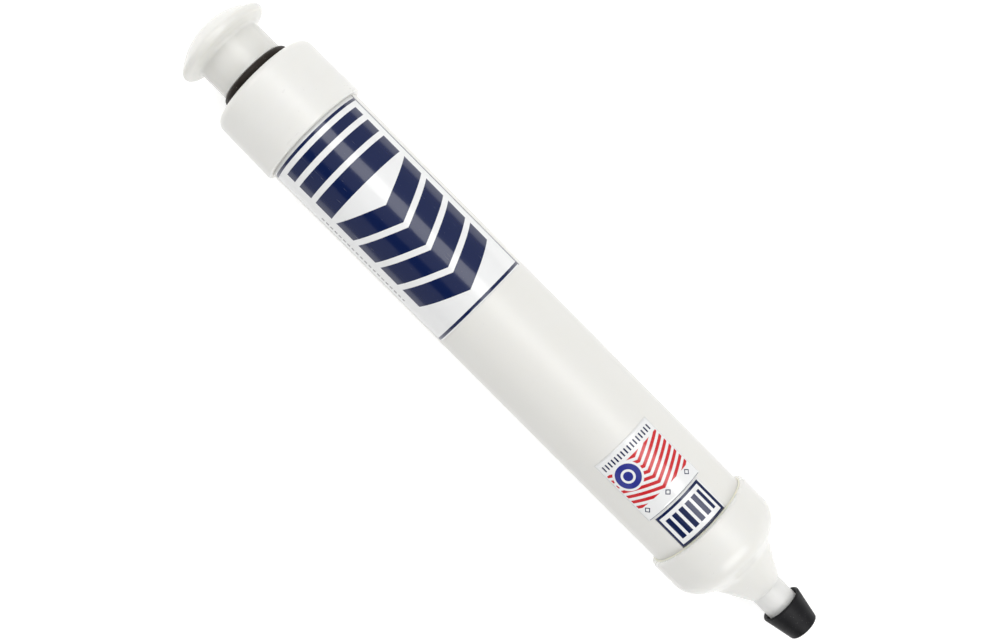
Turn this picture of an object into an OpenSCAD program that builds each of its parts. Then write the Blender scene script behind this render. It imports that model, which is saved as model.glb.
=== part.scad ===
// Hand inflation pump: a plastic pipe barrel with a push knob at one end
// and a tapered rubber tip at the other. It lies along X, tip towards +X.

/* [Barrel] */
// Outside diameter of the barrel pipe
barrel_od = 60.33; // [48:0.01:73]
// Wall of the barrel pipe
barrel_wall = 2.9; // [2.4:0.1:4]
// Length of the barrel pipe
barrel_len = 335.3; // [200:0.1:420]

/* [Collar] */
// Length of the glued collar
collar_len = 39.7; // [30:0.1:60]
// Wall of the collar round the barrel, at its open end
collar_wall = 2.55; // [2:0.05:5]
// How much narrower the collar's outside is at its face
collar_draft = 1.2; // [0:0.1:2]
// Rounding of the collar's outer corner
collar_round = 5.2; // [1:0.1:6]
// Thickness of the collar's end wall
collar_end = 4; // [3:0.1:6]
// Length of the bevel on the collar's open edge
collar_bevel = 0.6; // [0.3:0.1:2]

/* [Plunger] */
// Outside diameter of the plunger tube
shaft_od = 33.4; // [26:0.1:34]
// Wall of the plunger tube
shaft_wall = 3.4; // [2.4:0.1:4]
// Section of the black ring between the knob and the collar
bumper_section = 5; // [3:0.1:6]
// Section of the rubber ring behind the piston
rebound_section = 6; // [4:0.1:8]

/* [Knob] */
// Length of the knob with its sleeve
knob_len = 34.3; // [32:0.1:48]
// Diameter of the knob's head
knob_od = 55; // [50:0.1:64]
// Radius of the domed top of the head
knob_dome = 40.7; // [36:0.1:60]
// Radius of the rolled edge of the head
knob_edge = 2.7; // [2:0.1:4]
// Slope of the head's underside
knob_under = 14; // [6:1:20]
// Wall of the sleeve round the plunger tube
knob_wall = 2.85; // [2:0.05:4]
// Fillet between the sleeve and the head
knob_fillet = 2.2; // [1:0.1:3]
// Depth of the socket that the plunger tube is glued in
knob_socket = 24; // [16:0.1:25]

/* [Guide bushing] */
// Thickness of the bushing's flange, held loose under the collar
flange_thick = 4; // [3:0.1:6]
// Length of the bushing inside the barrel
bushing_len = 12; // [8:0.1:20]
// Number of air grooves in the bushing
groove_count = 6; // [3:1:8]
// Width of an air groove
groove_w = 3; // [2:0.1:5]
// Depth of an air groove below the bushing's bore
groove_depth = 2; // [1:0.1:3]

/* [Piston] */
// Section of the floating piston seal
seal_section = 5.33; // [4:0.01:6]
// How far the seal floats between its plates
seal_float = 1.7; // [1:0.1:3]
// Radial room for air between the seal and the hub it floats on
hub_room = 1.9; // [1:0.1:3]
// Thickness of the solid back plate
back_thick = 5; // [3:0.1:8]
// Thickness of the notched front plate
front_thick = 10; // [9:0.1:14]
// Web of the front plate under the screw's washer
front_web = 2.5; // [2:0.1:3]
// Number of air notches in the front plate
notch_count = 8; // [4:1:10]
// Width of an air notch
notch_w = 6; // [3:0.1:8]
// Radial distance from the hub to the bottom of an air notch
notch_step = 1; // [0.5:0.1:2]
// Radial room between the plates and the barrel
plate_gap = 0.8; // [0.4:0.1:1.2]
// Diameter of the piston screw
screw_d = 7.9; // [6:0.1:9]
// Width across the flats of the screw's head
screw_head = 12.7; // [11:0.1:14]
// Height of the screw's head
screw_head_h = 5.3; // [4:0.1:6]
// Room between the washer's rim and the air notches
washer_room = 8.485; // [4:0.005:10]
// Thickness of the washer
washer_thick = 1.6; // [1:0.1:2]
// Diameter of the brass insert
insert_od = 12; // [11:0.1:16]
// Length of the brass insert
insert_len = 20; // [12:0.1:26]
// Length of the plug in the plunger tube
plug_len = 30; // [28:0.1:40]
// Room left ahead of the piston when the knob is pushed in
end_room = 1.5; // [1:0.1:4]

/* [Nozzle] */
// Wall of the bell round the barrel
rim_wall = 3.085; // [2.4:0.005:5]
// Length of the straight rim
bell_rim = 16.4; // [14:0.1:24]
// Depth of the barrel's socket in the bell
bell_socket = 19.6; // [15:0.1:22]
// Rounding of the bell's mouth
bell_mouth_round = 1.6; // [0.5:0.1:2]
// Radius of the bell's shoulder
shoulder_r = 15; // [12:0.1:18]
// Angle to which the shoulder turns
shoulder_angle = 54.7; // [48:0.1:58]
// Length of the straight flank below the shoulder
flank_len = 5.2; // [2:0.1:8]
// Radius of the hollow curve under the flank
hollow_r = 12; // [8:0.1:16]
// Half angle of the cone that leads to the neck
cone_angle = 28.9; // [24:0.1:34]
// Wall of the bell's neck round the outlet tube
neck_wall = 0.35; // [0.3:0.05:1.5]
// Wall of the bell's cone
bell_wall = 3.2; // [2.5:0.1:4]
// Outside diameter of the outlet tube
tube_od = 19.05; // [16:0.01:22]
// Wall of the outlet tube
tube_wall = 2; // [1.5:0.1:3]
// Length of the tube between the bell and the rubber tip
tube_show = 12.1; // [4:0.1:30]
// Length of the tube glued in the bell
tube_in_bell = 16; // [10:0.1:18]
// Length of the step in the bell that the tube's end rests on
tube_step = 1; // [0.5:0.1:2]
// Height of the line of cement at the bell's mouth
cement_h = 1.2; // [0.6:0.1:2]
// Length of the rubber tip
tip_len = 18.5; // [14:0.1:26]
// Wall of the tip round the outlet tube, at its mouth
tip_wall = 2.8; // [2.2:0.1:5]
// Diameter of the tip's nose
tip_nose_od = 17.6; // [14:0.1:19]
// Diameter of the air hole in the tip's nose
tip_bore = 9; // [6:0.1:9.5]
// Length of the tube inside the tip
tip_socket = 6.5; // [4:0.1:7]
// Width of the lip round the tip's mouth
tip_lip = 0.5; // [0.3:0.1:0.8]
// Depth of the countersink inside the tip's mouth
tip_flare = 2; // [0.5:0.1:3]
// Rounding of the tip's nose
tip_round = 1.5; // [0.5:0.1:2]

/* [Outlet valve] */
// Thickness of the drilled seat
seat_thick = 3; // [2:0.1:5]
// Radial room round the rubber disc in the bell
disc_room = 7.265; // [5:0.005:9]
// Thickness of the rubber disc
disc_thick = 2; // [1:0.1:3]
// How far the disc lifts
disc_lift = 2; // [1:0.1:3]
// Diameter of the stem that guides the disc
stem_d = 5; // [4:0.1:6]
// Number of holes in the seat
seat_holes = 8; // [4:1:9]
// Diameter of a seat hole
seat_hole_d = 6; // [3:0.1:7]
// Rubber between the rim of the disc and the seat holes
disc_cover = 4; // [2:0.1:5]
// Diameter of the guard
guard_od = 30; // [26:0.1:34]
// Thickness of the guard
guard_thick = 2; // [1.5:0.1:3]
// Number of holes in the guard
guard_holes = 6; // [4:1:8]
// Diameter of a guard hole
guard_hole_d = 6; // [3:0.1:6.5]

/* [Labels] */
// Thickness of the vinyl films
film = 0.2; // [0.1:0.01:0.4]
// Length of the long wrapped label
label_len = 123; // [60:0.1:127]
// Distance from the collar to the long label
label_start = 0.3; // [0.2:0.1:8]
// Angle of the label's edge on the far side of the top line
label_from = -68.5; // [-85:0.5:-40]
// Angle of the label's edge on the near side
label_to = 75; // [40:0.5:85]
// Length of the striped decal along the barrel
decal_len = 40.5; // [20:0.1:50]
// Half angle that the striped decal spans
decal_angle = 37; // [20:0.5:45]
// Length of the box plate along the barrel
plate_len = 21.7; // [10:0.1:30]
// Half angle that the box plate spans
plate_angle = 30.5; // [15:0.5:40]
// Distance from the bell's mouth to the box plate
plate_from_bell = 0.65; // [0.3:0.05:10]
// Distance between the two decals
decal_gap = 0.4; // [0.2:0.1:10]

/* [Hidden] */
$fn = 96;

// Clearances, all radial or axial gaps between two faces
glue_gap = 0.05;
face_gap = 0.02;
float_gap = 0.15;
run_gap = 0.06;
shaft_run_gap = 0.09;
seal_run_gap = 0.05;
loose_gap = 0.3;
rest_gap = 0.4;
air_gap = 0.9;
cut = 1;
arc_steps = 10;

// Radii
barrel_r = barrel_od / 2;
bore_r = barrel_r - barrel_wall;
socket_r = barrel_r + glue_gap;
shaft_r = shaft_od / 2;
shaft_bore_r = shaft_r - shaft_wall;
collar_r = barrel_r + collar_wall;
collar_face_r = collar_r - collar_draft / 2;
sleeve_r = shaft_r + knob_wall;
bell_r = barrel_r + rim_wall;
tube_r = tube_od / 2;
neck_r = tube_r + neck_wall;
disc_r = bore_r - disc_room;
seat_circle_r = disc_r - disc_cover - seat_hole_d / 2;
plate_r = bore_r - plate_gap;
hub_r = bore_r - seal_run_gap - seal_section - hub_room;
notch_r = hub_r + notch_step;
washer_r = notch_r - washer_room;
plug_r = shaft_bore_r - glue_gap;

// Places along the axis, from the collar's face at 0 towards the tip
barrel_from = collar_end + flange_thick + 2 * float_gap;
barrel_to = barrel_from + barrel_len;
bushing_to = collar_end + float_gap + flange_thick + bushing_len;
bell_step = barrel_to + seat_thick + 2 * face_gap;
bell_from = bell_step - bell_socket;
shoulder_from = bell_from + bell_rim;
piston_to = barrel_to - end_room;
front_from = piston_to - front_thick;
hub_len = seal_section + seal_float;
back_to = front_from - hub_len;
back_from = back_to - back_thick;
rebound_from = back_from - rebound_section - face_gap;
knob_to = -rest_gap - bumper_section - face_gap;
knob_from = knob_to - knob_len;
shaft_from = knob_to - knob_socket;
collar_label_from = collar_len + label_start;
plate_to = bell_from - plate_from_bell;
decal_to = plate_to - plate_len - decal_gap;

// The bell's outline, worked out from its radii and angles
flank_from = shoulder_from + shoulder_r * sin(shoulder_angle);
flank_from_r = bell_r - shoulder_r * (1 - cos(shoulder_angle));
hollow_from = flank_from + flank_len * cos(shoulder_angle);
hollow_from_r = flank_from_r - flank_len * sin(shoulder_angle);
cone_from = hollow_from + hollow_r * (sin(shoulder_angle) - sin(cone_angle));
cone_from_r = hollow_from_r - hollow_r * (cos(cone_angle) - cos(shoulder_angle));
bell_to = cone_from + (cone_from_r - neck_r) / tan(cone_angle);
tube_from = bell_to - tube_in_bell;
tip_from = bell_to + tube_show;
tip_to = tip_from + tip_len;
tube_to = tip_from + tip_socket;

// The knob's outline: a dome that runs into a rolled edge
dome_centre = knob_from + knob_dome;
edge_r = knob_od / 2 - knob_edge;
edge_at = dome_centre - sqrt(pow(knob_dome - knob_edge, 2) - pow(edge_r, 2));
edge_angle = asin(edge_r / (knob_dome - knob_edge));
under_from_r = edge_r + knob_edge * sin(knob_under);
under_from = edge_at + knob_edge * cos(knob_under);
under_to_r = sleeve_r + knob_fillet;
under_to = under_from + (under_from_r - under_to_r) * tan(knob_under);

// The part is centred on X and rests on Z = 0
x_shift = -(knob_from + tip_to) / 2;
axis_height = max(bell_r, collar_r);

// Points of an arc round [r, u], each given as [radius, place along the axis]
function arc(r, u, radius, from, to) =
    [for (k = [0:arc_steps]) let (a = from + (to - from) * k / arc_steps)
        [r + radius * sin(a), u - radius * cos(a)]];

// Turns an outline of [radius, place] points about the pump's axis
module turned(outline) {
    lay_down() rotate_extrude() polygon(outline);
}

// Lays what is drawn about +Z along the pump's axis
module lay_down() {
    translate([x_shift, 0, axis_height]) rotate([0, 90, 0]) children();
}

// A straight tube between two places
module tube(outer, inner, from, to) {
    turned([[inner, from], [outer, from], [outer, to], [inner, to]]);
}

// A round ring of the given section
module ring(centre_r, section, place) {
    lay_down() translate([0, 0, place]) rotate_extrude()
        translate([centre_r, 0]) circle(d = section);
}

// A film on the barrel between two places and two angles from the top line
module barrel_film(from, to, angle_from, angle_to) {
    r = barrel_r + face_gap;
    lay_down() rotate([0, 0, 180 + angle_from])
        rotate_extrude(angle = angle_to - angle_from)
            translate([r, from]) square([film, to - from]);
}

// Cuts that repeat round the axis
module around(count) {
    for (k = [0:count - 1]) rotate([0, 0, 360 * k / count]) children();
}

module barrel() {
    color("#f2f1ec") tube(barrel_r, bore_r, barrel_from, barrel_to);
}

module top_collar() {
    hole_r = shaft_r + air_gap;
    bevel_r = collar_r - collar_bevel;
    color("#f4f3ee") turned(concat(
        [[hole_r, 0]],
        arc(collar_face_r - collar_round, collar_round, collar_round, 0, 90),
        [[collar_r, collar_len - collar_bevel],
         [bevel_r, collar_len],
         [socket_r, collar_len],
         [socket_r, collar_end],
         [hole_r, collar_end]]));
}

module guide_bushing() {
    from = collar_end + float_gap;
    flange_to = from + flange_thick;
    bush_r = bore_r - loose_gap;
    bush_bore_r = shaft_r + shaft_run_gap;
    color("#d9d7cf") difference() {
        tube(socket_r - loose_gap, bush_bore_r, from, flange_to);
        bushing_grooves(from, flange_to, bush_bore_r);
    }
    color("#d9d7cf") difference() {
        tube(bush_r, bush_bore_r, flange_to, bushing_to);
        bushing_grooves(flange_to, bushing_to, bush_bore_r);
    }
}

module bushing_grooves(from, to, bush_bore_r) {
    lay_down() around(groove_count)
        translate([0, -groove_w / 2, from - cut])
            cube([bush_bore_r + groove_depth, groove_w, to - from + 2 * cut]);
}

module knob() {
    color("#f5f4f0") turned(concat(
        [[0, knob_from]],
        arc(0, dome_centre, knob_dome, 0, edge_angle),
        arc(edge_r, edge_at, knob_edge, edge_angle, 180 - knob_under),
        arc(under_to_r, under_to + knob_fillet, knob_fillet, 0, -90),
        [[sleeve_r, knob_to],
         [shaft_r + glue_gap, knob_to],
         [shaft_r + glue_gap, shaft_from - face_gap],
         [0, shaft_from - face_gap]]));
}

module bumper_ring() {
    color("#2b2622")
        ring(shaft_r + bumper_section / 2, bumper_section, -rest_gap - bumper_section / 2);
}

module plunger_shaft() {
    color("#ecebe6") tube(shaft_r, shaft_bore_r, shaft_from, back_from - face_gap);
}

module shaft_plug() {
    insert_r = insert_od / 2 + glue_gap;
    from = back_from - plug_len;
    insert_from = back_from - insert_len - 2 * face_gap;
    color("#cfcdc6") turned([[0, from], [plug_r, from], [plug_r, back_from - face_gap],
        [insert_r, back_from - face_gap], [insert_r, insert_from], [0, insert_from]]);
}

module screw_insert() {
    color("#c9a24a") tube(insert_od / 2, screw_d / 2 + run_gap,
        back_from - insert_len - face_gap, back_from - face_gap);
}

module rebound_ring() {
    color("#2b2622")
        ring(shaft_r + rebound_section / 2, rebound_section, rebound_from + rebound_section / 2);
}

module piston_back_plate() {
    hole_r = screw_d / 2 + loose_gap;
    color("#e4e2da") turned([[hole_r, back_from], [plate_r, back_from], [plate_r, back_to],
        [hub_r, back_to], [hub_r, front_from - face_gap], [hole_r, front_from - face_gap]]);
}

module piston_seal() {
    color("#26221f") ring(bore_r - seal_run_gap - seal_section / 2, seal_section,
        back_to + face_gap + seal_section / 2);
}

module piston_front_plate() {
    hole_r = screw_d / 2 + loose_gap;
    pocket_r = washer_r + loose_gap;
    color("#e4e2da") difference() {
        turned([[hole_r, front_from], [plate_r, front_from], [plate_r, piston_to],
            [pocket_r, piston_to], [pocket_r, front_from + front_web],
            [hole_r, front_from + front_web]]);
        lay_down() around(notch_count)
            translate([notch_r, -notch_w / 2, front_from - cut])
                cube([barrel_r, notch_w, front_thick + 2 * cut]);
    }
}

module piston_washer() {
    from = front_from + front_web + face_gap;
    color("#b9bbbd") tube(washer_r, screw_d / 2 + loose_gap, from, from + washer_thick);
}

module piston_screw() {
    head_from = front_from + front_web + washer_thick + 2 * face_gap;
    shank_from = back_from - insert_len;
    color("#aeb0b3") lay_down() {
        translate([0, 0, head_from])
            cylinder(d = screw_head / cos(30), h = screw_head_h, $fn = 6);
        translate([0, 0, shank_from]) cylinder(d = screw_d, h = head_from - shank_from + cut);
    }
}

module nozzle_bell() {
    inner_neck_r = tube_r + glue_gap;
    tube_stop = tube_from - face_gap;
    throat_r = tube_r - tube_wall;
    cavity_r = barrel_r - barrel_wall;
    round_r = bell_r - bell_mouth_round;
    color("#f3f2ed") turned(concat(
        [[socket_r, bell_from]],
        arc(round_r, bell_from + bell_mouth_round, bell_mouth_round, 0, 90),
        arc(bell_r - shoulder_r, shoulder_from, shoulder_r, 90, 90 + shoulder_angle),
        arc(hollow_from_r + hollow_r * cos(shoulder_angle),
            hollow_from + hollow_r * sin(shoulder_angle),
            hollow_r, shoulder_angle - 90, cone_angle - 90),
        [[neck_r, bell_to],
         [inner_neck_r, bell_to],
         [inner_neck_r, tube_stop],
         [throat_r, tube_stop],
         [throat_r, tube_stop - tube_step],
         [hollow_from_r - bell_wall, hollow_from - bell_wall],
         [cavity_r, shoulder_from + bell_wall],
         [cavity_r, bell_step],
         [socket_r, bell_step]]));
}

module cement_bead() {
    from_r = barrel_r + face_gap;
    to = bell_from - face_gap;
    color("#e8e2c4") turned([[from_r, to - cement_h / 2],
        [from_r + cement_h / 2, to - cement_h / 3], [from_r + cement_h, to], [from_r, to]]);
}

module nozzle_tube() {
    color("#eeeeec") tube(tube_r, tube_r - tube_wall, tube_from, tube_to);
}

module nozzle_tip() {
    mouth_r = tube_r + tip_wall;
    nose_r = tip_nose_od / 2;
    taper = atan((mouth_r - nose_r) / (tip_len - 2 * tip_lip));
    socket = tube_r + glue_gap;
    stop = tube_to + face_gap;
    color("#1d1d1f") turned(concat(
        [[socket, tip_from + tip_flare], [mouth_r - 2 * tip_lip, tip_from],
         [mouth_r - tip_lip, tip_from], [mouth_r, tip_from + tip_lip],
         [mouth_r, tip_from + 2 * tip_lip]],
        arc(nose_r - tip_round, tip_to - tip_round, tip_round, 90 + taper, 180),
        [[tip_bore / 2, tip_to], [tip_bore / 2, stop], [socket, stop]]));
}

module valve_seat() {
    from = barrel_to + face_gap;
    stem_to = from + seat_thick + disc_thick + disc_lift + 3 * face_gap + guard_thick;
    color("#dcdad2") difference() {
        turned([[0, from], [barrel_r, from], [barrel_r, from + seat_thick],
            [stem_d / 2, from + seat_thick], [stem_d / 2, stem_to], [0, stem_to]]);
        lay_down() around(seat_holes) translate([seat_circle_r, 0, from - cut])
            cylinder(d = seat_hole_d, h = seat_thick + 2 * cut);
    }
}

module valve_disc() {
    from = barrel_to + 2 * face_gap + seat_thick;
    color("#2b2622") tube(disc_r, stem_d / 2 + shaft_run_gap, from, from + disc_thick);
}

module valve_guard() {
    from = barrel_to + 4 * face_gap + seat_thick + disc_thick + disc_lift;
    circle_r = (guard_od + stem_d) / 4;
    color("#dcdad2") difference() {
        tube(guard_od / 2, stem_d / 2 + glue_gap, from, from + guard_thick);
        lay_down() around(guard_holes) translate([circle_r, 0, from - cut])
            cylinder(d = guard_hole_d, h = guard_thick + 2 * cut);
    }
}

module main_label() {
    color("#1f2a5a")
        barrel_film(collar_label_from, collar_label_from + label_len, label_from, label_to);
}

module stripe_decal() {
    color("#c8323c") barrel_film(decal_to - decal_len, decal_to, -decal_angle, decal_angle);
}

module size_plate() {
    color("#25305c") barrel_film(plate_to - plate_len, plate_to, -plate_angle, plate_angle);
}

barrel();
top_collar();
guide_bushing();
knob();
bumper_ring();
plunger_shaft();
shaft_plug();
screw_insert();
rebound_ring();
piston_back_plate();
piston_seal();
piston_front_plate();
piston_washer();
piston_screw();
nozzle_bell();
cement_bead();
nozzle_tube();
nozzle_tip();
valve_seat();
valve_disc();
valve_guard();
main_label();
stripe_decal();
size_plate();
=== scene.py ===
"""Looks for the hand inflation pump: turned white mouldings, pipe, rubber and printed vinyl."""
import math

import bpy
from mathutils import Matrix, Vector


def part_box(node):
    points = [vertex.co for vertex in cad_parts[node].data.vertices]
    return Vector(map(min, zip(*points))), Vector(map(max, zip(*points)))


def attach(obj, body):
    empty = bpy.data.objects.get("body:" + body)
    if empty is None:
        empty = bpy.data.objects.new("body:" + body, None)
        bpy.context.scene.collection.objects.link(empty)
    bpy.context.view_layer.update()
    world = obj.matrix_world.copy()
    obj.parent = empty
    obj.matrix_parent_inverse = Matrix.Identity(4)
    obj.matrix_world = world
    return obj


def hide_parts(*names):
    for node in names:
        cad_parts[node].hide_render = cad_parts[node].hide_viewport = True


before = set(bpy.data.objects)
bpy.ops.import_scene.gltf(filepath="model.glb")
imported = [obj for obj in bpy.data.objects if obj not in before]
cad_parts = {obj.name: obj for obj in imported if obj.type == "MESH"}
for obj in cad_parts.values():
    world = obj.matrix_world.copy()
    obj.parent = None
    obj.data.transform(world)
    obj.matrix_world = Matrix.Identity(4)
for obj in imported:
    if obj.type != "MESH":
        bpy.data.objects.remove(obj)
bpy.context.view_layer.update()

MM = 0.001
FULL_TURN = 2 * math.pi

# ---------------------------------------------------------------- places from the frame


def span(node):
    """Where a node starts and ends along the pump, and its outer radius."""
    low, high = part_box(node)
    return low.x, high.x, (high.z - low.z) / 2


barrel_from, barrel_to, barrel_r = span("barrel")
collar_from, collar_to, collar_r = span("top_collar")
knob_from, knob_to, knob_r = span("knob")
shaft_from, shaft_to, shaft_r = span("plunger_shaft")
bell_from, bell_to, bell_r = span("nozzle_bell")
tube_from, tube_to, tube_r = span("nozzle_tube")
tip_from, tip_to, tip_mouth_r = span("nozzle_tip")
axis_low, axis_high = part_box("barrel")
AXIS_Z = (axis_low.z + axis_high.z) / 2

PIPE_WALL = 2.9 * MM
SHAFT_WALL = 3.4 * MM
TUBE_WALL = 2 * MM
FILM = 0.12 * MM
GLUE_GAP = 0.05 * MM
TOUCH_GAP = 0.02 * MM
SAME_POINT = 1e-6

# ---------------------------------------------------------------- modelling by operators

BROAD_ROUND = 2 * MM
BROAD_STEP, SMALL_STEP = math.radians(4), math.radians(18)


def rounded(corners):
    """The (x, r) points of an outline given as (x, r, rounding) corners, each rounding as an arc."""
    points = []
    for k, (x, r, rounding) in enumerate(corners):
        here = Vector((x, r))
        if rounding == 0:
            points.append(here)
            continue
        before = (Vector(corners[k - 1][:2]) - here).normalized()
        after = (Vector(corners[(k + 1) % len(corners)][:2]) - here).normalized()
        half = before.angle(after) / 2
        reach = rounding / math.tan(half)
        centre = here + (before + after).normalized() * rounding / math.sin(half)
        start = here + before * reach - centre
        turn = start.angle_signed(here + after * reach - centre)
        step_angle = BROAD_STEP if rounding > BROAD_ROUND else SMALL_STEP
        steps = max(2, math.ceil(abs(turn) / step_angle))
        for step in range(steps + 1):
            points.append(centre + Matrix.Rotation(-turn * step / steps, 2) @ start)
    return points


def only(piece):
    """Makes piece the one selected, active object."""
    bpy.ops.object.select_all(action="DESELECT")
    piece.select_set(True)
    bpy.context.view_layer.objects.active = piece


def point_at(name, x, r, angle=0.0):
    """A new piece, in edit mode, of one point at x and r from the pump's axis, angle from the top."""
    bpy.ops.object.select_all(action="DESELECT")
    place = (x, -r * math.sin(angle), AXIS_Z + r * math.cos(angle))
    bpy.ops.mesh.primitive_plane_add(size=MM, location=place)
    piece = bpy.context.active_object
    piece.name = piece.data.name = name
    bpy.ops.object.mode_set(mode="EDIT")
    bpy.ops.mesh.select_all(action="SELECT")
    bpy.ops.mesh.merge(type="CENTER")
    return piece


def pull(x, y, z):
    """Extrudes what is selected by a step."""
    bpy.ops.mesh.extrude_region_move(TRANSFORM_OT_translate={"value": (x, y, z)})


def sweep(steps, angle=FULL_TURN):
    """Spins the whole outline about the pump's axis, closes its seam and faces it outwards."""
    bpy.ops.mesh.select_all(action="SELECT")
    bpy.ops.mesh.spin(steps=steps, angle=angle, center=(0, 0, AXIS_Z), axis=(1, 0, 0))
    bpy.ops.mesh.select_all(action="SELECT")
    bpy.ops.mesh.remove_doubles(threshold=SAME_POINT)
    bpy.ops.mesh.normals_make_consistent(inside=False)


def settle(piece, crease=30):
    """Leaves edit mode with the piece's place in its mesh and its edges under crease degrees smooth."""
    bpy.ops.object.mode_set(mode="OBJECT")
    only(piece)
    bpy.ops.object.transform_apply(location=True, rotation=True, scale=True)
    bpy.ops.object.shade_smooth_by_angle(angle=math.radians(crease))
    return piece


def turned(name, corners, steps=144):
    """Turns an outline of (x, r, rounding) corners about the pump's axis, as on a lathe."""
    outline = rounded(corners)
    piece = point_at(name, outline[0].x, outline[0].y)
    on_axis = corners[0][1] == 0 and corners[-1][1] == 0
    ends = outline[1:] if on_axis else outline[1:] + outline[:1]
    for start, end in zip(outline, ends):
        pull(end.x - start.x, 0, end.y - start.y)
    sweep(steps)
    return settle(piece)


def pipe(name, x_from, x_to, outer, wall, edge=0.35 * MM, steps=144):
    """A straight tube with broken edges."""
    inner = outer - wall
    return turned(name, [
        (x_from, inner, edge / 2), (x_from, outer, edge),
        (x_to, outer, edge), (x_to, inner, edge / 2)], steps)


def moulded_ring(name, node):
    """A rubber ring with the thin flash line that its mould leaves round each side."""
    x_from, x_to, outer = span(node)
    middle, section_r = (x_from + x_to) / 2, (x_to - x_from) / 2
    centre_r = outer - section_r
    flash, points = 0.09 * MM, 40
    corners = []
    for k in range(points):
        angle = FULL_TURN * k / points
        on_flash = k % (points // 2) == points // 4
        out = section_r if on_flash else section_r - flash
        corners.append((middle + out * math.sin(angle), centre_r - out * math.cos(angle), 0))
    return turned(name, corners, 160)


def meet(p, direction_p, q, direction_q):
    """Where two lines cross, each given by a point and a direction."""
    cross = direction_p.x * direction_q.y - direction_p.y * direction_q.x
    gap = q - p
    return p + direction_p * (gap.x * direction_q.y - gap.y * direction_q.x) / cross


def angle_of_side(node, y):
    """How far round from the top a CAD film's side lies, from the lowest point there."""
    heights = [v.co.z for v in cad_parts[node].data.vertices if abs(v.co.y - y) < TOUCH_GAP]
    return math.atan2(-y, min(heights) - AXIS_Z)


def film(name, node, x_steps, turn_steps, wrinkle):
    """A vinyl film laid round the barrel over a CAD film, very slightly wrinkled."""
    low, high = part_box(node)
    near, far = angle_of_side(node, low.y), angle_of_side(node, high.y)
    piece = point_at(name, low.x, barrel_r + TOUCH_GAP, near)
    for _ in range(x_steps):
        pull((high.x - low.x) / x_steps, 0, 0)
    sweep(turn_steps, near - far)
    settle(piece)
    clouds = bpy.data.textures.new(name + "_wrinkles", "CLOUDS")
    clouds.noise_scale = 9 * MM
    lift = piece.modifiers.new("wrinkles", "DISPLACE")
    lift.texture = clouds
    lift.strength = wrinkle
    lift.mid_level = 0
    thick = piece.modifiers.new("thickness", "SOLIDIFY")
    thick.thickness = FILM
    thick.offset = 1
    for modifier in ("wrinkles", "thickness"):
        bpy.ops.object.modifier_apply(modifier=modifier)
    return piece


# ---------------------------------------------------------------- shader maths


class Wire:
    """A shader socket that Python's arithmetic adds Math nodes to."""

    def __init__(self, nodes, socket):
        self.nodes = nodes
        self.socket = socket

    def __add__(self, other):
        return self.nodes.math("ADD", self, other)

    def __radd__(self, other):
        return self.nodes.math("ADD", other, self)

    def __sub__(self, other):
        return self.nodes.math("SUBTRACT", self, other)

    def __rsub__(self, other):
        return self.nodes.math("SUBTRACT", other, self)

    def __mul__(self, other):
        return self.nodes.math("MULTIPLY", self, other)

    def __rmul__(self, other):
        return self.nodes.math("MULTIPLY", other, self)

    def __truediv__(self, other):
        return self.nodes.math("DIVIDE", self, other)

    def __rtruediv__(self, other):
        return self.nodes.math("DIVIDE", other, self)

    def __or__(self, other):
        return self.nodes.math("MAXIMUM", self, other)

    def __ror__(self, other):
        return self.nodes.math("MAXIMUM", other, self)

    def __abs__(self):
        return self.nodes.math("ABSOLUTE", self)

    def clamp(self):
        return self.nodes.node("ShaderNodeMath", {"operation": "ADD", "use_clamp": True}, [self, 0.0])

    def above(self, limit, soft=0.1):
        """0 below limit and 1 above it, over a soft edge."""
        return ((self - limit) / soft + 0.5).clamp()

    def below(self, limit, soft=0.1):
        """1 below limit and 0 above it."""
        return 1 - self.above(limit, soft)

    def between(self, low, high, soft=0.1):
        """1 between low and high, and 0 outside."""
        return self.above(low, soft) * self.below(high, soft)


class Nodes:
    """A node tree that nodes are added to."""

    def __init__(self, tree):
        self.tree = tree

    def node(self, kind, settings=None, values=(), output=0):
        """Adds a node, makes its settings, fills its sockets and returns its output."""
        node = self.tree.nodes.new(kind)
        for name, value in (settings or {}).items():
            setattr(node, name, value)
        pairs = values.items() if isinstance(values, dict) else enumerate(values)
        for name, value in pairs:
            if isinstance(value, Wire):
                self.tree.links.new(value.socket, node.inputs[name])
            else:
                node.inputs[name].default_value = value
        return Wire(self, node.outputs[output])

    def math(self, operation, *values):
        return self.node("ShaderNodeMath", {"operation": operation}, values)

    def apart(self, vector):
        """The three parts of a vector."""
        first = self.node("ShaderNodeSeparateXYZ", None, [vector])
        return [Wire(self, socket) for socket in first.socket.node.outputs]


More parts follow.
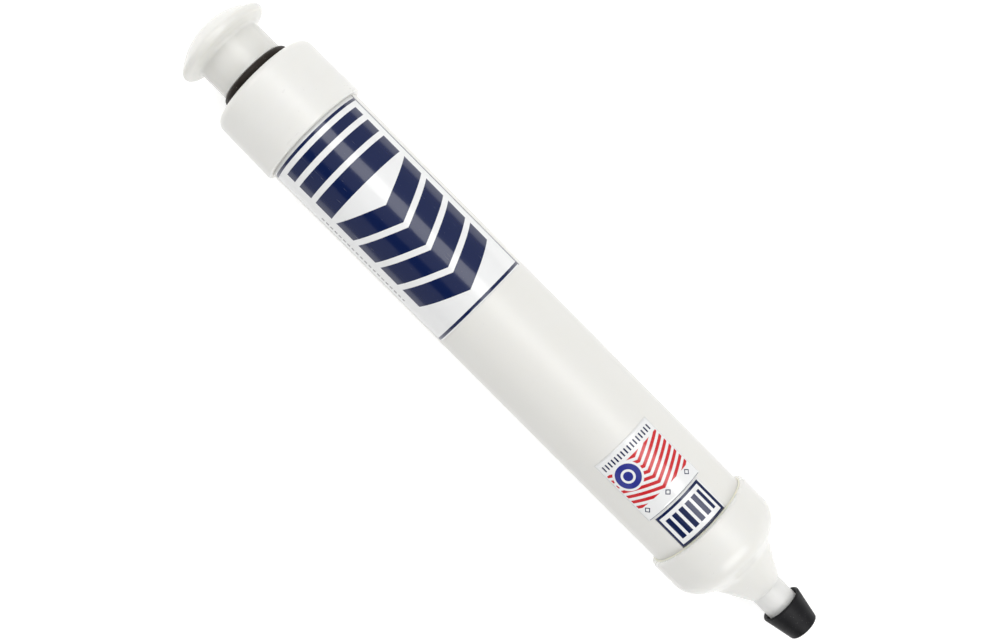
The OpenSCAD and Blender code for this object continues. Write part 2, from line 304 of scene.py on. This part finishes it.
class Finish(Nodes):
    """A procedural material. Values that don't vary are set on the shader's own sockets."""

    def __init__(self, name, color, roughness, **fixed):
        self.material = bpy.data.materials.new(name)
        self.material.use_nodes = True
        super().__init__(self.material.node_tree)
        self.shader = self.tree.nodes["Principled BSDF"]
        self.shader.inputs["Base Color"].default_value = (*color, 1)
        self.shader.inputs["Roughness"].default_value = roughness
        for socket, value in fixed.items():
            self.shader.inputs[socket.replace("_", " ")].default_value = value
        self.material.diffuse_color = (*color, 1)
        self.place = self.node("ShaderNodeTexCoord", output="Object")

    def axes(self):
        """X along the pump and the two places across it from its axis, in millimetres."""
        x, y, z = self.apart(self.place)
        return x / MM, y / MM, (z - AXIS_Z) / MM

    def stretched(self, x, y, z):
        """Object coordinates scaled by x, y and z."""
        return self.node("ShaderNodeVectorMath", {"operation": "MULTIPLY"}, [self.place, (x, y, z)])

    def noise(self, scale, detail=3.0, rough=0.5, where=None):
        sockets = {"Vector": where or self.place, "Scale": scale, "Detail": detail, "Roughness": rough}
        return self.node("ShaderNodeTexNoise", None, sockets)

    def specks(self, scale, size):
        """Small round spots, 1 inside and 0 outside."""
        sockets = {"Vector": self.place, "Scale": scale}
        reach = self.node("ShaderNodeTexVoronoi", {"feature": "F1"}, sockets, "Distance")
        return reach.below(size, size * 0.6)

    def mix(self, factor, first, second):
        """A colour between first and second."""
        first, second = ((*c, 1) if isinstance(c, tuple) else c for c in (first, second))
        return self.node("ShaderNodeMix", {"data_type": "RGBA"}, {0: factor, 6: first, 7: second}, 2)

    def set(self, socket, wire):
        self.tree.links.new(wire.socket, self.shader.inputs[socket])

    def bump(self, height, distance, strength, under=None):
        """A normal for a height, over the relief under it."""
        sockets = {"Strength": strength, "Distance": distance, "Height": height}
        if under:
            sockets["Normal"] = under
        return self.node("ShaderNodeBump", None, sockets)


# ---------------------------------------------------------------- finishes

GREY_DIRT = (0.35, 0.33, 0.29)
PALE_DUST = (0.42, 0.4, 0.37)
SKIN_DEPTHS = (1.0, 0.9, 0.7)


def pipe_white(name="pipe_white", color=(0.785, 0.78, 0.75), warm=(0.76, 0.745, 0.695)):
    """Extruded pipe: satin, with draw lines along it, faint blotches, specks and scuffs."""
    scuffed = (0.68, 0.67, 0.63)
    f = Finish(name, color, 0.3, Subsurface_Weight=0.08, Subsurface_Scale=4 * MM,
               Subsurface_Radius=SKIN_DEPTHS)
    draw_lines = f.noise(1, 4, 0.6, f.stretched(5, 650, 650))
    blotch = f.noise(28)
    grain = f.noise(1400, 2)
    scuffs = f.noise(1, 5, 0.7, f.stretched(900, 60, 60)).above(0.66, 0.05)
    tone = f.mix((blotch * 0.5).clamp(), color, warm)
    tone = f.mix(scuffs * 0.12, tone, scuffed)
    f.set("Base Color", f.mix(f.specks(150, 0.035) * 0.15, tone, GREY_DIRT))
    f.set("Roughness", 0.24 + blotch * 0.1 + draw_lines * 0.06 + scuffs * 0.12)
    relief = f.bump(draw_lines, 0.012 * MM, 0.5)
    f.set("Normal", f.bump(grain, 0.006 * MM, 0.5, relief))
    return f.material


def moulded_white(name, edge_from, edge_to, tint=(0.82, 0.815, 0.785), gloss=0.24):
    """Moulded PVC: glossier, with a soft orange peel, flow clouds, and rubbed, greyer edges."""
    flow_tint, rubbed, dirt = (0.79, 0.78, 0.735), (0.66, 0.65, 0.61), (0.36, 0.34, 0.3)
    edge_reach, edge_soft = 1.2, 2.0
    f = Finish(name, tint, 0.24, Subsurface_Weight=0.12, Subsurface_Scale=5 * MM,
               Subsurface_Radius=SKIN_DEPTHS)
    x, _, _ = f.axes()
    flow = f.noise(1, 4, 0.55, f.stretched(90, 26, 26))
    peel = f.noise(480, 2)
    fine = f.noise(2200, 2)
    rubs = f.noise(1, 3, 0.5, f.stretched(160, 50, 50)).above(0.6, 0.4)
    first_edge = x.below(edge_from / MM + edge_reach, edge_soft)
    last_edge = x.above(edge_to / MM - edge_reach, edge_soft)
    worn = ((first_edge | last_edge) * f.noise(260, 4).above(0.48, 0.12)).clamp()
    tone = f.mix((flow * 0.5).clamp(), tint, flow_tint)
    tone = f.mix(rubs * 0.06 + worn * 0.05, tone, rubbed)
    f.set("Base Color", f.mix(f.specks(130, 0.04) * 0.12, tone, dirt))
    f.set("Roughness", gloss + flow * 0.08 + rubs * 0.04 + worn * 0.04)
    relief = f.bump(peel, 0.008 * MM, 0.3)
    f.set("Normal", f.bump(fine, 0.004 * MM, 0.5, relief))
    return f.material


def black_rubber(name, color, gloss, dust):
    """Moulded rubber: a mottled bloom, fine pores, scuffs and a little pale dust."""
    f = Finish(name, color, 0.5, Specular_IOR_Level=0.15)
    bloom = f.noise(140, 5, 0.6)
    smear = f.noise(1, 4, 0.6, f.stretched(160, 60, 60))
    pores = f.noise(2600)
    flecks = f.specks(700, 0.12) * f.noise(90, 2).above(0.5, 0.2)
    paler = tuple(channel * 2.2 + 0.006 for channel in color)
    tone = f.mix((bloom * smear * 2.2 - 0.2).clamp(), color, paler)
    f.set("Base Color", f.mix(flecks * dust, tone, PALE_DUST))
    f.set("Roughness", (gloss + bloom.above(0.5, 0.5) * 0.3 + smear * 0.14).clamp())
    relief = f.bump(smear, 0.08 * MM, 0.3)
    f.set("Normal", f.bump(pores, 0.02 * MM, 0.6, relief))
    return f.material


def dried_cement():
    """Solvent cement that dried in glossy, uneven runs."""
    clear, yellowed = (0.80, 0.78, 0.67), (0.74, 0.70, 0.54)
    f = Finish("dried_cement", (0.78, 0.74, 0.58), 0.3, Subsurface_Weight=0.1, Subsurface_Scale=2 * MM)
    runs = f.noise(500, 4)
    f.set("Base Color", f.mix(runs, clear, yellowed))
    f.set("Roughness", 0.2 + runs * 0.25)
    f.set("Normal", f.bump(runs, 0.1 * MM, 0.6))
    return f.material


def machined_plastic(name, color):
    """Turned plate stock: fine tool rings and a waxy sheen."""
    darker = tuple(channel * 0.86 for channel in color)
    f = Finish(name, color, 0.42)
    x, y, z = f.axes()
    reach = f.node("ShaderNodeVectorMath", {"operation": "LENGTH"}, [f.stretched(0, 1, 1)], "Value")
    rings = f.math("SINE", (y * y + z * z + x * 9) * 1.4)
    clouds = f.noise(80, 4)
    f.set("Base Color", f.mix(clouds * 0.5 + reach * 2, color, darker))
    f.set("Roughness", 0.36 + clouds * 0.16 + rings * 0.03)
    f.set("Normal", f.bump(rings * 0.5 + f.noise(1500, 2), 0.01 * MM, 0.4))
    return f.material


def turned_metal(name, color, roughness, stain):
    """Plated or turned metal with fine lathe lines and a few stains."""
    f = Finish(name, color, roughness, Metallic=1.0)
    lines = f.noise(1, 4, 0.6, f.stretched(5200, 240, 240))
    patch = f.noise(220, 4)
    f.set("Base Color", f.mix(patch.above(0.5, 0.3) * 0.6, color, stain))
    f.set("Roughness", roughness + lines * 0.14 + patch * 0.1)
    f.set("Normal", f.bump(lines, 0.01 * MM, 0.5))
    return f.material


NAVY = (0.002, 0.010, 0.064)
NEAR_BLACK = (0.03, 0.03, 0.05)
RED = (0.58, 0.02, 0.026)
BLUE = (0.028, 0.036, 0.26)
PAPER_WHITE = (0.84, 0.845, 0.85)


def printed_film(name, node, print_on):
    """Glossy vinyl. print_on(finish, along, around) gives the inks, as pairs of mask and colour."""
    aged, scratched = (0.81, 0.81, 0.79), (0.6, 0.6, 0.6)
    low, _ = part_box(node)
    f = Finish(name, PAPER_WHITE, 0.12, Specular_IOR_Level=0.55, Coat_Roughness=0.04)
    x, y, z = f.axes()
    along = x - low.x / MM
    around = f.math("ARCTAN2", 0 - y, z) * (barrel_r / MM)
    ragged = (f.noise(2600, 2) - 0.5) * 0.09
    tone = f.mix(f.noise(60) * 0.4, PAPER_WHITE, aged)
    inked = 0.0
    for mask, ink in print_on(f, along + ragged, around + ragged):
        worn = mask * (1 - f.noise(1900, 4).above(0.72, 0.05) * 0.06)
        tone = f.mix(worn, tone, ink)
        inked = inked | mask
    scratches = f.noise(1, 5, 0.7, f.stretched(70, 900, 900)).above(0.68, 0.04)
    f.set("Base Color", f.mix(scratches * 0.1, tone, scratched))
    f.set("Roughness", 0.1 + f.noise(300) * 0.08 + scratches * 0.15 + inked * 0.02)
    f.set("Coat Weight", 0.3 + inked * 0.1)
    waves = f.bump(f.noise(1, 2, 0.5, f.stretched(14, 120, 120)), 0.5 * MM, 0.14)
    f.set("Normal", f.bump(f.noise(800, 2), 0.008 * MM, 0.4, waves))
    return f.material


# Prints are laid out in millimetres: along from the film's knob end, around from the pump's top.


def label_print(f, along, around):
    """A navy frame, bars that grow towards the nozzle, arrowheads that point at it, and a fine rule."""
    length, near_side, far_side = 123.0, -35.4, 38.6
    first, last = 1.75, length - 0.8
    end_lines = along.between(first, 3.4) | along.between(length - 2.5, last)
    near_line = around.between(near_side, near_side + 1)
    far_line = around.between(far_side - 0.3, far_side) * along.between(first, last)
    frame_lines = (end_lines | near_line) * around.between(near_side, far_side) | far_line
    from_middle = abs(around + 0.7)
    marks = 0.0
    for start, wide in ((6.4, 5.6), (15.2, 8.4), (26.8, 11.6)):
        marks = marks | along.between(start, start + wide)
    bars_end, arrow_slope, arrow_wide = 39.5, 0.42, 12.4
    leaning = along + from_middle * arrow_slope
    for start in (53.6, 69.6, 85.6, 101.6):
        marks = marks | leaning.between(start, start + arrow_wide) * along.above(bars_end)
    marks = marks * from_middle.below(28.5)
    dashes = f.math("FRACT", along / 3.1).between(0.0, 0.62, 0.04)
    fine_row = dashes * along.between(33, 94.5) * around.between(34.1, 35.3)
    return [(frame_lines | marks, NAVY), (fine_row, NEAR_BLACK)]


def decal_print(f, along, around):
    """A blue disc with a ring over red chevrons, between a row of navy ticks and three diamonds."""
    from_middle = abs(around)
    inside = from_middle.below(18.5)
    first, period, slope = 8.36, 3.71, 0.45
    steps = f.math("FRACT", (along - first + from_middle * slope) / period)
    chevrons = steps.below(0.53, 0.05) * along.between(8.3, 32.6) * inside
    disc_x, disc_s = along - 15.2, around - 9.6
    disc_r = f.math("SQRT", disc_x * disc_x + disc_s * disc_s)
    disc = disc_r.below(7.0) * (1 - disc_r.between(2.6, 3.9))
    margin = disc_r.below(8.2)
    tick = f.math("FRACT", around / 2.2).between(0.3, 0.7, 0.05)
    ticks = tick * along.between(2.9, 6.3) * from_middle.below(17.6)
    diamonds = 0.0
    for middle in (-14.0, 0.6, 15.2):
        reach = abs(along - 35.1) + abs(around - middle)
        diamonds = diamonds | reach.between(1.15, 1.85)
    rule = along.between(40.02, 40.3) * inside
    return [(chevrons * (1 - margin), RED), (disc, BLUE), (ticks | diamonds | rule, NAVY)]


def plate_print(f, along, around):
    """A navy frame round a row of level bars."""
    line, middle = 1.55, around - 0.6
    from_middle = abs(middle)
    outer = along.between(0.6, 21.6) * from_middle.below(15.4)
    inner = along.between(0.6 + line, 21.6 - line) * from_middle.below(15.4 - line)
    step = f.math("FRACT", (around + 13.5) / 4.5)
    bars = step.between(0.12, 0.76, 0.03) * middle.between(-12.4, 12.0) * along.between(4.5, 17.5)
    return [((outer - inner).clamp() | bars, NAVY)]


# ---------------------------------------------------------------- pieces


def finish_piece(piece, body, material, node):
    """Gives a piece its material and its body, and hides the CAD node that it stands for."""
    piece.data.materials.clear()
    piece.data.materials.append(material)
    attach(piece, body)
    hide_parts(node)


def make_collar():
    """The cap glued over the barrel's knob end, with its big rounding on the knob's side."""
    hole = shaft_r + 0.9 * MM
    bevel, round_r, floor = 0.6 * MM, 5.2 * MM, 4 * MM
    socket = barrel_r + GLUE_GAP
    return turned("glued_collar", [
        (collar_from, hole, 0.4 * MM), (collar_from, collar_r - bevel, round_r),
        (collar_to - bevel, collar_r, 0.4 * MM), (collar_to, collar_r - bevel, 0.3 * MM),
        (collar_to, socket, 0.1 * MM),
        (collar_from + floor, socket, 0.3 * MM), (collar_from + floor, hole, 0.3 * MM)])


def make_knob():
    """A mushroom knob: a dome, a rounded edge, a sloping underside and the sleeve it is glued by."""
    dome, edge, slope = 40.7 * MM, 2.7 * MM, math.radians(14)
    fillet, sleeve_r = 2.2 * MM, shaft_r + 2.85 * MM
    edge_r = knob_r - edge
    lean = math.asin(edge_r / (dome - edge))
    edge_x = knob_from + dome - (dome - edge) * math.cos(lean)
    dome_end = Vector((knob_from + dome - dome * math.cos(lean), dome * math.sin(lean)))
    dome_way = Vector((math.sin(lean), math.cos(lean)))
    under = Vector((edge_x + edge * math.cos(slope), edge_r + edge * math.sin(slope)))
    under_way = Vector((math.sin(slope), -math.cos(slope)))
    rim = meet(dome_end, dome_way, under, under_way)
    crown = meet(dome_end, dome_way, Vector((knob_from, 0)), Vector((0, 1)))
    root = meet(under, under_way, Vector((0, sleeve_r)), Vector((1, 0)))
    just_off_axis = 0.999
    socket, stop = shaft_r + GLUE_GAP, shaft_from - TOUCH_GAP
    return turned("push_knob", [
        (knob_from, 0, 0), (knob_from, crown.y, dome * just_off_axis), (rim.x, rim.y, edge),
        (root.x, root.y, fillet), (knob_to, sleeve_r, 0.5 * MM), (knob_to, socket, 0.3 * MM),
        (stop, socket, 0.3 * MM), (stop, 0, 0)])


def make_bell():
    """The reducer: a straight rim, a big shoulder, a hollow and a neck, with the valve's room inside."""
    rim, shoulder, hollow, flank = 16.4 * MM, 15 * MM, 12 * MM, 5.2 * MM
    steep, shallow = math.radians(54.7), math.radians(28.9)
    rim_end = bell_from + rim
    neck_r = tube_r + 0.35 * MM
    first_x = rim_end + shoulder * math.tan(steep / 2)
    reach = shoulder * math.tan(steep / 2) + flank + hollow * math.tan((steep - shallow) / 2)
    second_x = first_x + reach * math.cos(steep)
    second_r = bell_r - reach * math.sin(steep)
    socket, bore = barrel_r + GLUE_GAP, barrel_r - PIPE_WALL
    seat_room = 3 * MM + 2 * TOUCH_GAP
    step, tube_stop = barrel_to + seat_room, tube_from - TOUCH_GAP
    tube_socket, throat = tube_r + GLUE_GAP, tube_r - TUBE_WALL
    return turned("nozzle_bell_moulding", [
        (bell_from, socket, 0.2 * MM), (bell_from, bell_r, 1.6 * MM),
        (first_x, bell_r, shoulder), (second_x, second_r, hollow),
        (bell_to, neck_r, 0.1 * MM), (bell_to, tube_socket, 0.05 * MM),
        (tube_stop, tube_socket, 0.2 * MM), (tube_stop, throat, 0.3 * MM),
        (tube_stop - MM, throat, 0.3 * MM),
        (second_x - 5 * MM, second_r - 2 * MM, 4 * MM), (rim_end + 6 * MM, bore, 5 * MM),
        (step, bore, 0.3 * MM), (step, socket, 0.3 * MM)])


def make_cement():
    """The line of cement squeezed out at the bell's mouth, uneven as it dried."""
    low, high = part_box("cement_bead")
    foot, thin, thick = barrel_r + TOUCH_GAP, 0.3 * MM, 0.9 * MM
    bevel = 0.1 * MM
    bead = turned("cement_line", [
        (low.x, foot, 0), (low.x + bevel, foot + thin, 0.1 * MM),
        (high.x - bevel, foot + thick, 0.2 * MM), (high.x, foot + thick, 0), (high.x, foot, 0)], 220)
    only(bead)
    bpy.ops.object.mode_set(mode="EDIT")
    bpy.ops.mesh.select_all(action="SELECT")
    bpy.ops.transform.vertex_random(offset=0.05 * MM, uniform=0.4, normal=0.6, seed=4)
    bpy.ops.mesh.vertices_smooth(factor=0.5, repeat=2)
    return settle(bead, 60)


def make_tip():
    """The taper tip, with a small lip round its mouth and a blind socket for the outlet tube."""
    nose_r, hole, nose_round = 8.8 * MM, 4.5 * MM, 1.5 * MM
    lip, lip_wall = MM, 0.45 * MM
    socket, stop = tube_r + GLUE_GAP, tube_to + TOUCH_GAP
    return turned("rubber_tip", [
        (tip_from + 2 * MM, socket, 0.3 * MM), (tip_from, tip_mouth_r - lip, 0.2 * MM),
        (tip_from, tip_mouth_r - lip_wall, 0.2 * MM), (tip_from + lip / 2, tip_mouth_r, 0.2 * MM),
        (tip_from + lip, tip_mouth_r, 0.3 * MM), (tip_to, nose_r, nose_round), (tip_to, hole, 0.4 * MM),
        (stop, hole, 0.2 * MM), (stop, socket, 0.2 * MM)])


def make_screw():
    """A hex head screw with a threaded shank."""
    x_from, x_to, _ = span("piston_screw")
    _, washer_to, _ = span("piston_washer")
    thread_r, pitch, depth, lead = 3.95 * MM, 1.25 * MM, 0.65 * MM, 0.9 * MM
    flats, face, face_r, head_bevel = 12.7 * MM, 0.4 * MM, 6.1 * MM, 0.45 * MM
    head_from = washer_to + TOUCH_GAP
    corners = [(x_from, 0, 0), (x_from, thread_r - lead, 0)]
    x = x_from + lead
    while x < head_from - 2 * pitch:
        corners += [(x, thread_r, 0), (x + pitch / 2, thread_r - depth, 0)]
        x += pitch
    corners += [
        (x, thread_r, 0), (head_from, thread_r, 0), (head_from, face_r, 0.1 * MM),
        (head_from + face, face_r, 0), (head_from + face, 0, 0)]
    shank = turned("screw_shank", corners, 48)
    bpy.ops.object.select_all(action="DESELECT")
    bpy.ops.mesh.primitive_cylinder_add(
        vertices=6, radius=flats / 2 / math.cos(math.pi / 6), depth=x_to - head_from - face,
        location=((head_from + face + x_to) / 2, 0, AXIS_Z), rotation=(0, math.pi / 2, 0))
    head = bpy.context.active_object
    head.name = "screw_head"
    bpy.ops.object.mode_set(mode="EDIT")
    bpy.ops.mesh.select_all(action="SELECT")
    bpy.ops.mesh.bevel(offset=head_bevel, segments=3, affect="EDGES")
    settle(head)
    only(shank)
    head.select_set(True)
    bpy.ops.object.join()
    shank.name = shank.data.name = "piston_hex_screw"
    return shank


pipe_finish = pipe_white()
bumper_finish = black_rubber("bumper_rubber", (0.015, 0.011, 0.009), 0.3, 0.3)
seal_finish = black_rubber("greased_rubber", (0.018, 0.016, 0.015), 0.12, 0.05)
steel_finish = turned_metal("zinc_steel", (0.62, 0.63, 0.65), 0.28, (0.46, 0.45, 0.42))
brass_finish = turned_metal("turned_brass", (0.78, 0.56, 0.24), 0.3, (0.5, 0.33, 0.14))
plate_finish = machined_plastic("machined_plate", (0.70, 0.68, 0.62))
bushing_finish = machined_plastic("waxy_bushing", (0.66, 0.65, 0.60))

finish_piece(
    pipe("pump_barrel", barrel_from, barrel_to, barrel_r, PIPE_WALL),
    "barrel_body", pipe_finish, "barrel")
finish_piece(
    make_collar(), "barrel_body",
    moulded_white("collar_moulding", collar_from, collar_to), "top_collar")
finish_piece(
    make_bell(), "barrel_body",
    moulded_white("bell_moulding", bell_from, bell_to, (0.79, 0.785, 0.755), 0.2), "nozzle_bell")
finish_piece(make_cement(), "barrel_body", dried_cement(), "cement_bead")
finish_piece(
    pipe("outlet_tube", tube_from, tube_to, tube_r, TUBE_WALL, 0.3 * MM, 96),
    "barrel_body",
    pipe_white("tube_white", (0.77, 0.77, 0.755), (0.75, 0.745, 0.71)), "nozzle_tube")
finish_piece(
    make_tip(), "barrel_body",
    black_rubber("tip_rubber", (0.004, 0.004, 0.005), 0.26, 0.15), "nozzle_tip")

off_dome = 5 * MM
finish_piece(
    make_knob(), "plunger",
    moulded_white("knob_moulding", knob_from - off_dome, knob_to, (0.795, 0.79, 0.755), 0.18), "knob")
finish_piece(
    pipe("plunger_tube", shaft_from, shaft_to, shaft_r, SHAFT_WALL, 0.35 * MM, 120),
    "plunger", pipe_white("shaft_white", (0.82, 0.815, 0.78)), "plunger_shaft")
finish_piece(
    moulded_ring("bumper_o_ring", "bumper_ring"), "plunger", bumper_finish, "bumper_ring")
finish_piece(
    moulded_ring("rebound_buffer", "rebound_ring"), "plunger", bumper_finish, "rebound_ring")
finish_piece(
    moulded_ring("floating_seal", "piston_seal"), "seal", seal_finish, "piston_seal")
finish_piece(make_screw(), "plunger", steel_finish, "piston_screw")

finish_piece(
    film("wrapped_label", "main_label", 60, 90, 0.10 * MM), "barrel_body",
    printed_film("label_vinyl", "main_label", label_print), "main_label")
finish_piece(
    film("striped_decal", "stripe_decal", 24, 40, 0.06 * MM), "barrel_body",
    printed_film("decal_vinyl", "stripe_decal", decal_print), "stripe_decal")
finish_piece(
    film("framed_plate", "size_plate", 14, 34, 0.05 * MM), "barrel_body",
    printed_film("plate_vinyl", "size_plate", plate_print), "size_plate")

CAD_FINISHES = {
    "guide_bushing": bushing_finish, "shaft_plug": plate_finish, "screw_insert": brass_finish,
    "piston_back_plate": plate_finish, "piston_front_plate": plate_finish,
    "piston_washer": steel_finish, "valve_seat": plate_finish, "valve_disc": seal_finish,
    "valve_guard": plate_finish}
for node, material in CAD_FINISHES.items():
    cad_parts[node].data.materials.clear()
    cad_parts[node].data.materials.append(material)

# ---------------------------------------------------------------- floor, light and camera


def make_floor():
    """A wide pale floor, slightly self-lit so that the pump's shadow stays faint."""
    pale, paler = (0.62, 0.62, 0.615), (0.635, 0.635, 0.63)
    bpy.ops.object.select_all(action="DESELECT")
    bpy.ops.mesh.primitive_plane_add(size=40, location=(0, 0, 0))
    floor = bpy.context.active_object
    floor.name = "floor"
    f = Finish("pale_floor", pale, 0.85, Emission_Color=(1, 1, 1, 1), Emission_Strength=0.56)
    f.set("Base Color", f.mix(f.noise(3, 2), pale, paler))
    floor.data.materials.append(f.material)


def panel(name, centre, towards, width, height, radiance):
    """A soft light panel of the given radiance."""
    light = bpy.data.lights.new(name, "AREA")
    light.shape = "RECTANGLE"
    light.size = width
    light.size_y = height
    light.energy = radiance * math.pi * width * height
    lamp = bpy.data.objects.new(name, light)
    lamp.location = centre
    lamp.rotation_euler = (Vector(towards) - Vector(centre)).to_track_quat("-Z", "Y").to_euler()
    lamp.visible_camera = False
    bpy.context.scene.collection.objects.link(lamp)


def make_light():
    """An even studio with a dark card beside the pump, a panel over it and one beyond each end."""
    bright, card_from, card_to = 0.36, math.radians(25), math.radians(46)
    world = bpy.data.worlds.new("studio")
    world.use_nodes = True
    bpy.context.scene.world = world
    sky = Nodes(world.node_tree)
    _, y, z = sky.apart(sky.node("ShaderNodeTexCoord", output="Generated"))
    dark_card = sky.math("ARCTAN2", 0 - y, z).between(card_from, card_to, 0.04)
    background = sky.tree.nodes["Background"]
    background.inputs["Color"].default_value = (1, 1, 1, 1)
    sky.tree.links.new((bright - dark_card * 0.31).socket, background.inputs["Strength"])
    panel("softbox_over", (0, 0.37, 1.1), (0, 0.37, 0), 1.1, 0.56, radiance=2.2)
    panel("softbox_at_nozzle", (1.15, 0, 1.0), (0.1, 0, 0), 1.2, 0.8, radiance=3.5)
    panel("softbox_at_knob", (-1.15, 0, 1.0), (-0.1, 0, 0), 1.2, 0.8, radiance=3.2)
    bpy.context.scene.view_settings.view_transform = "Standard"


def make_camera():
    """Almost straight above the pump, leaning a little towards the nozzle, and rolled."""
    away, lean, roll = 748.6 * MM, math.radians(2.994), math.radians(45.16)
    over, side = collar_from + 137.95 * MM, 0.5 * MM
    eye = Vector((over, side, AXIS_Z + away))
    aim = Vector((over + away * math.tan(lean), side, AXIS_Z))
    back = (eye - aim).normalized()
    along = (Vector((1, 0, 0)) - back * back.x).normalized()
    across = back.cross(along)
    right = along * math.cos(roll) + across * math.sin(roll)
    up = across * math.cos(roll) - along * math.sin(roll)
    camera = bpy.data.objects.new("camera", bpy.data.cameras.new("camera"))
    camera.data.sensor_width = 36
    camera.data.lens = 50.98
    camera.matrix_world = Matrix((right, up, back)).transposed().to_4x4()
    camera.location = eye
    bpy.context.scene.collection.objects.link(camera)
    bpy.context.scene.camera = camera


make_floor()
make_light()
make_camera()
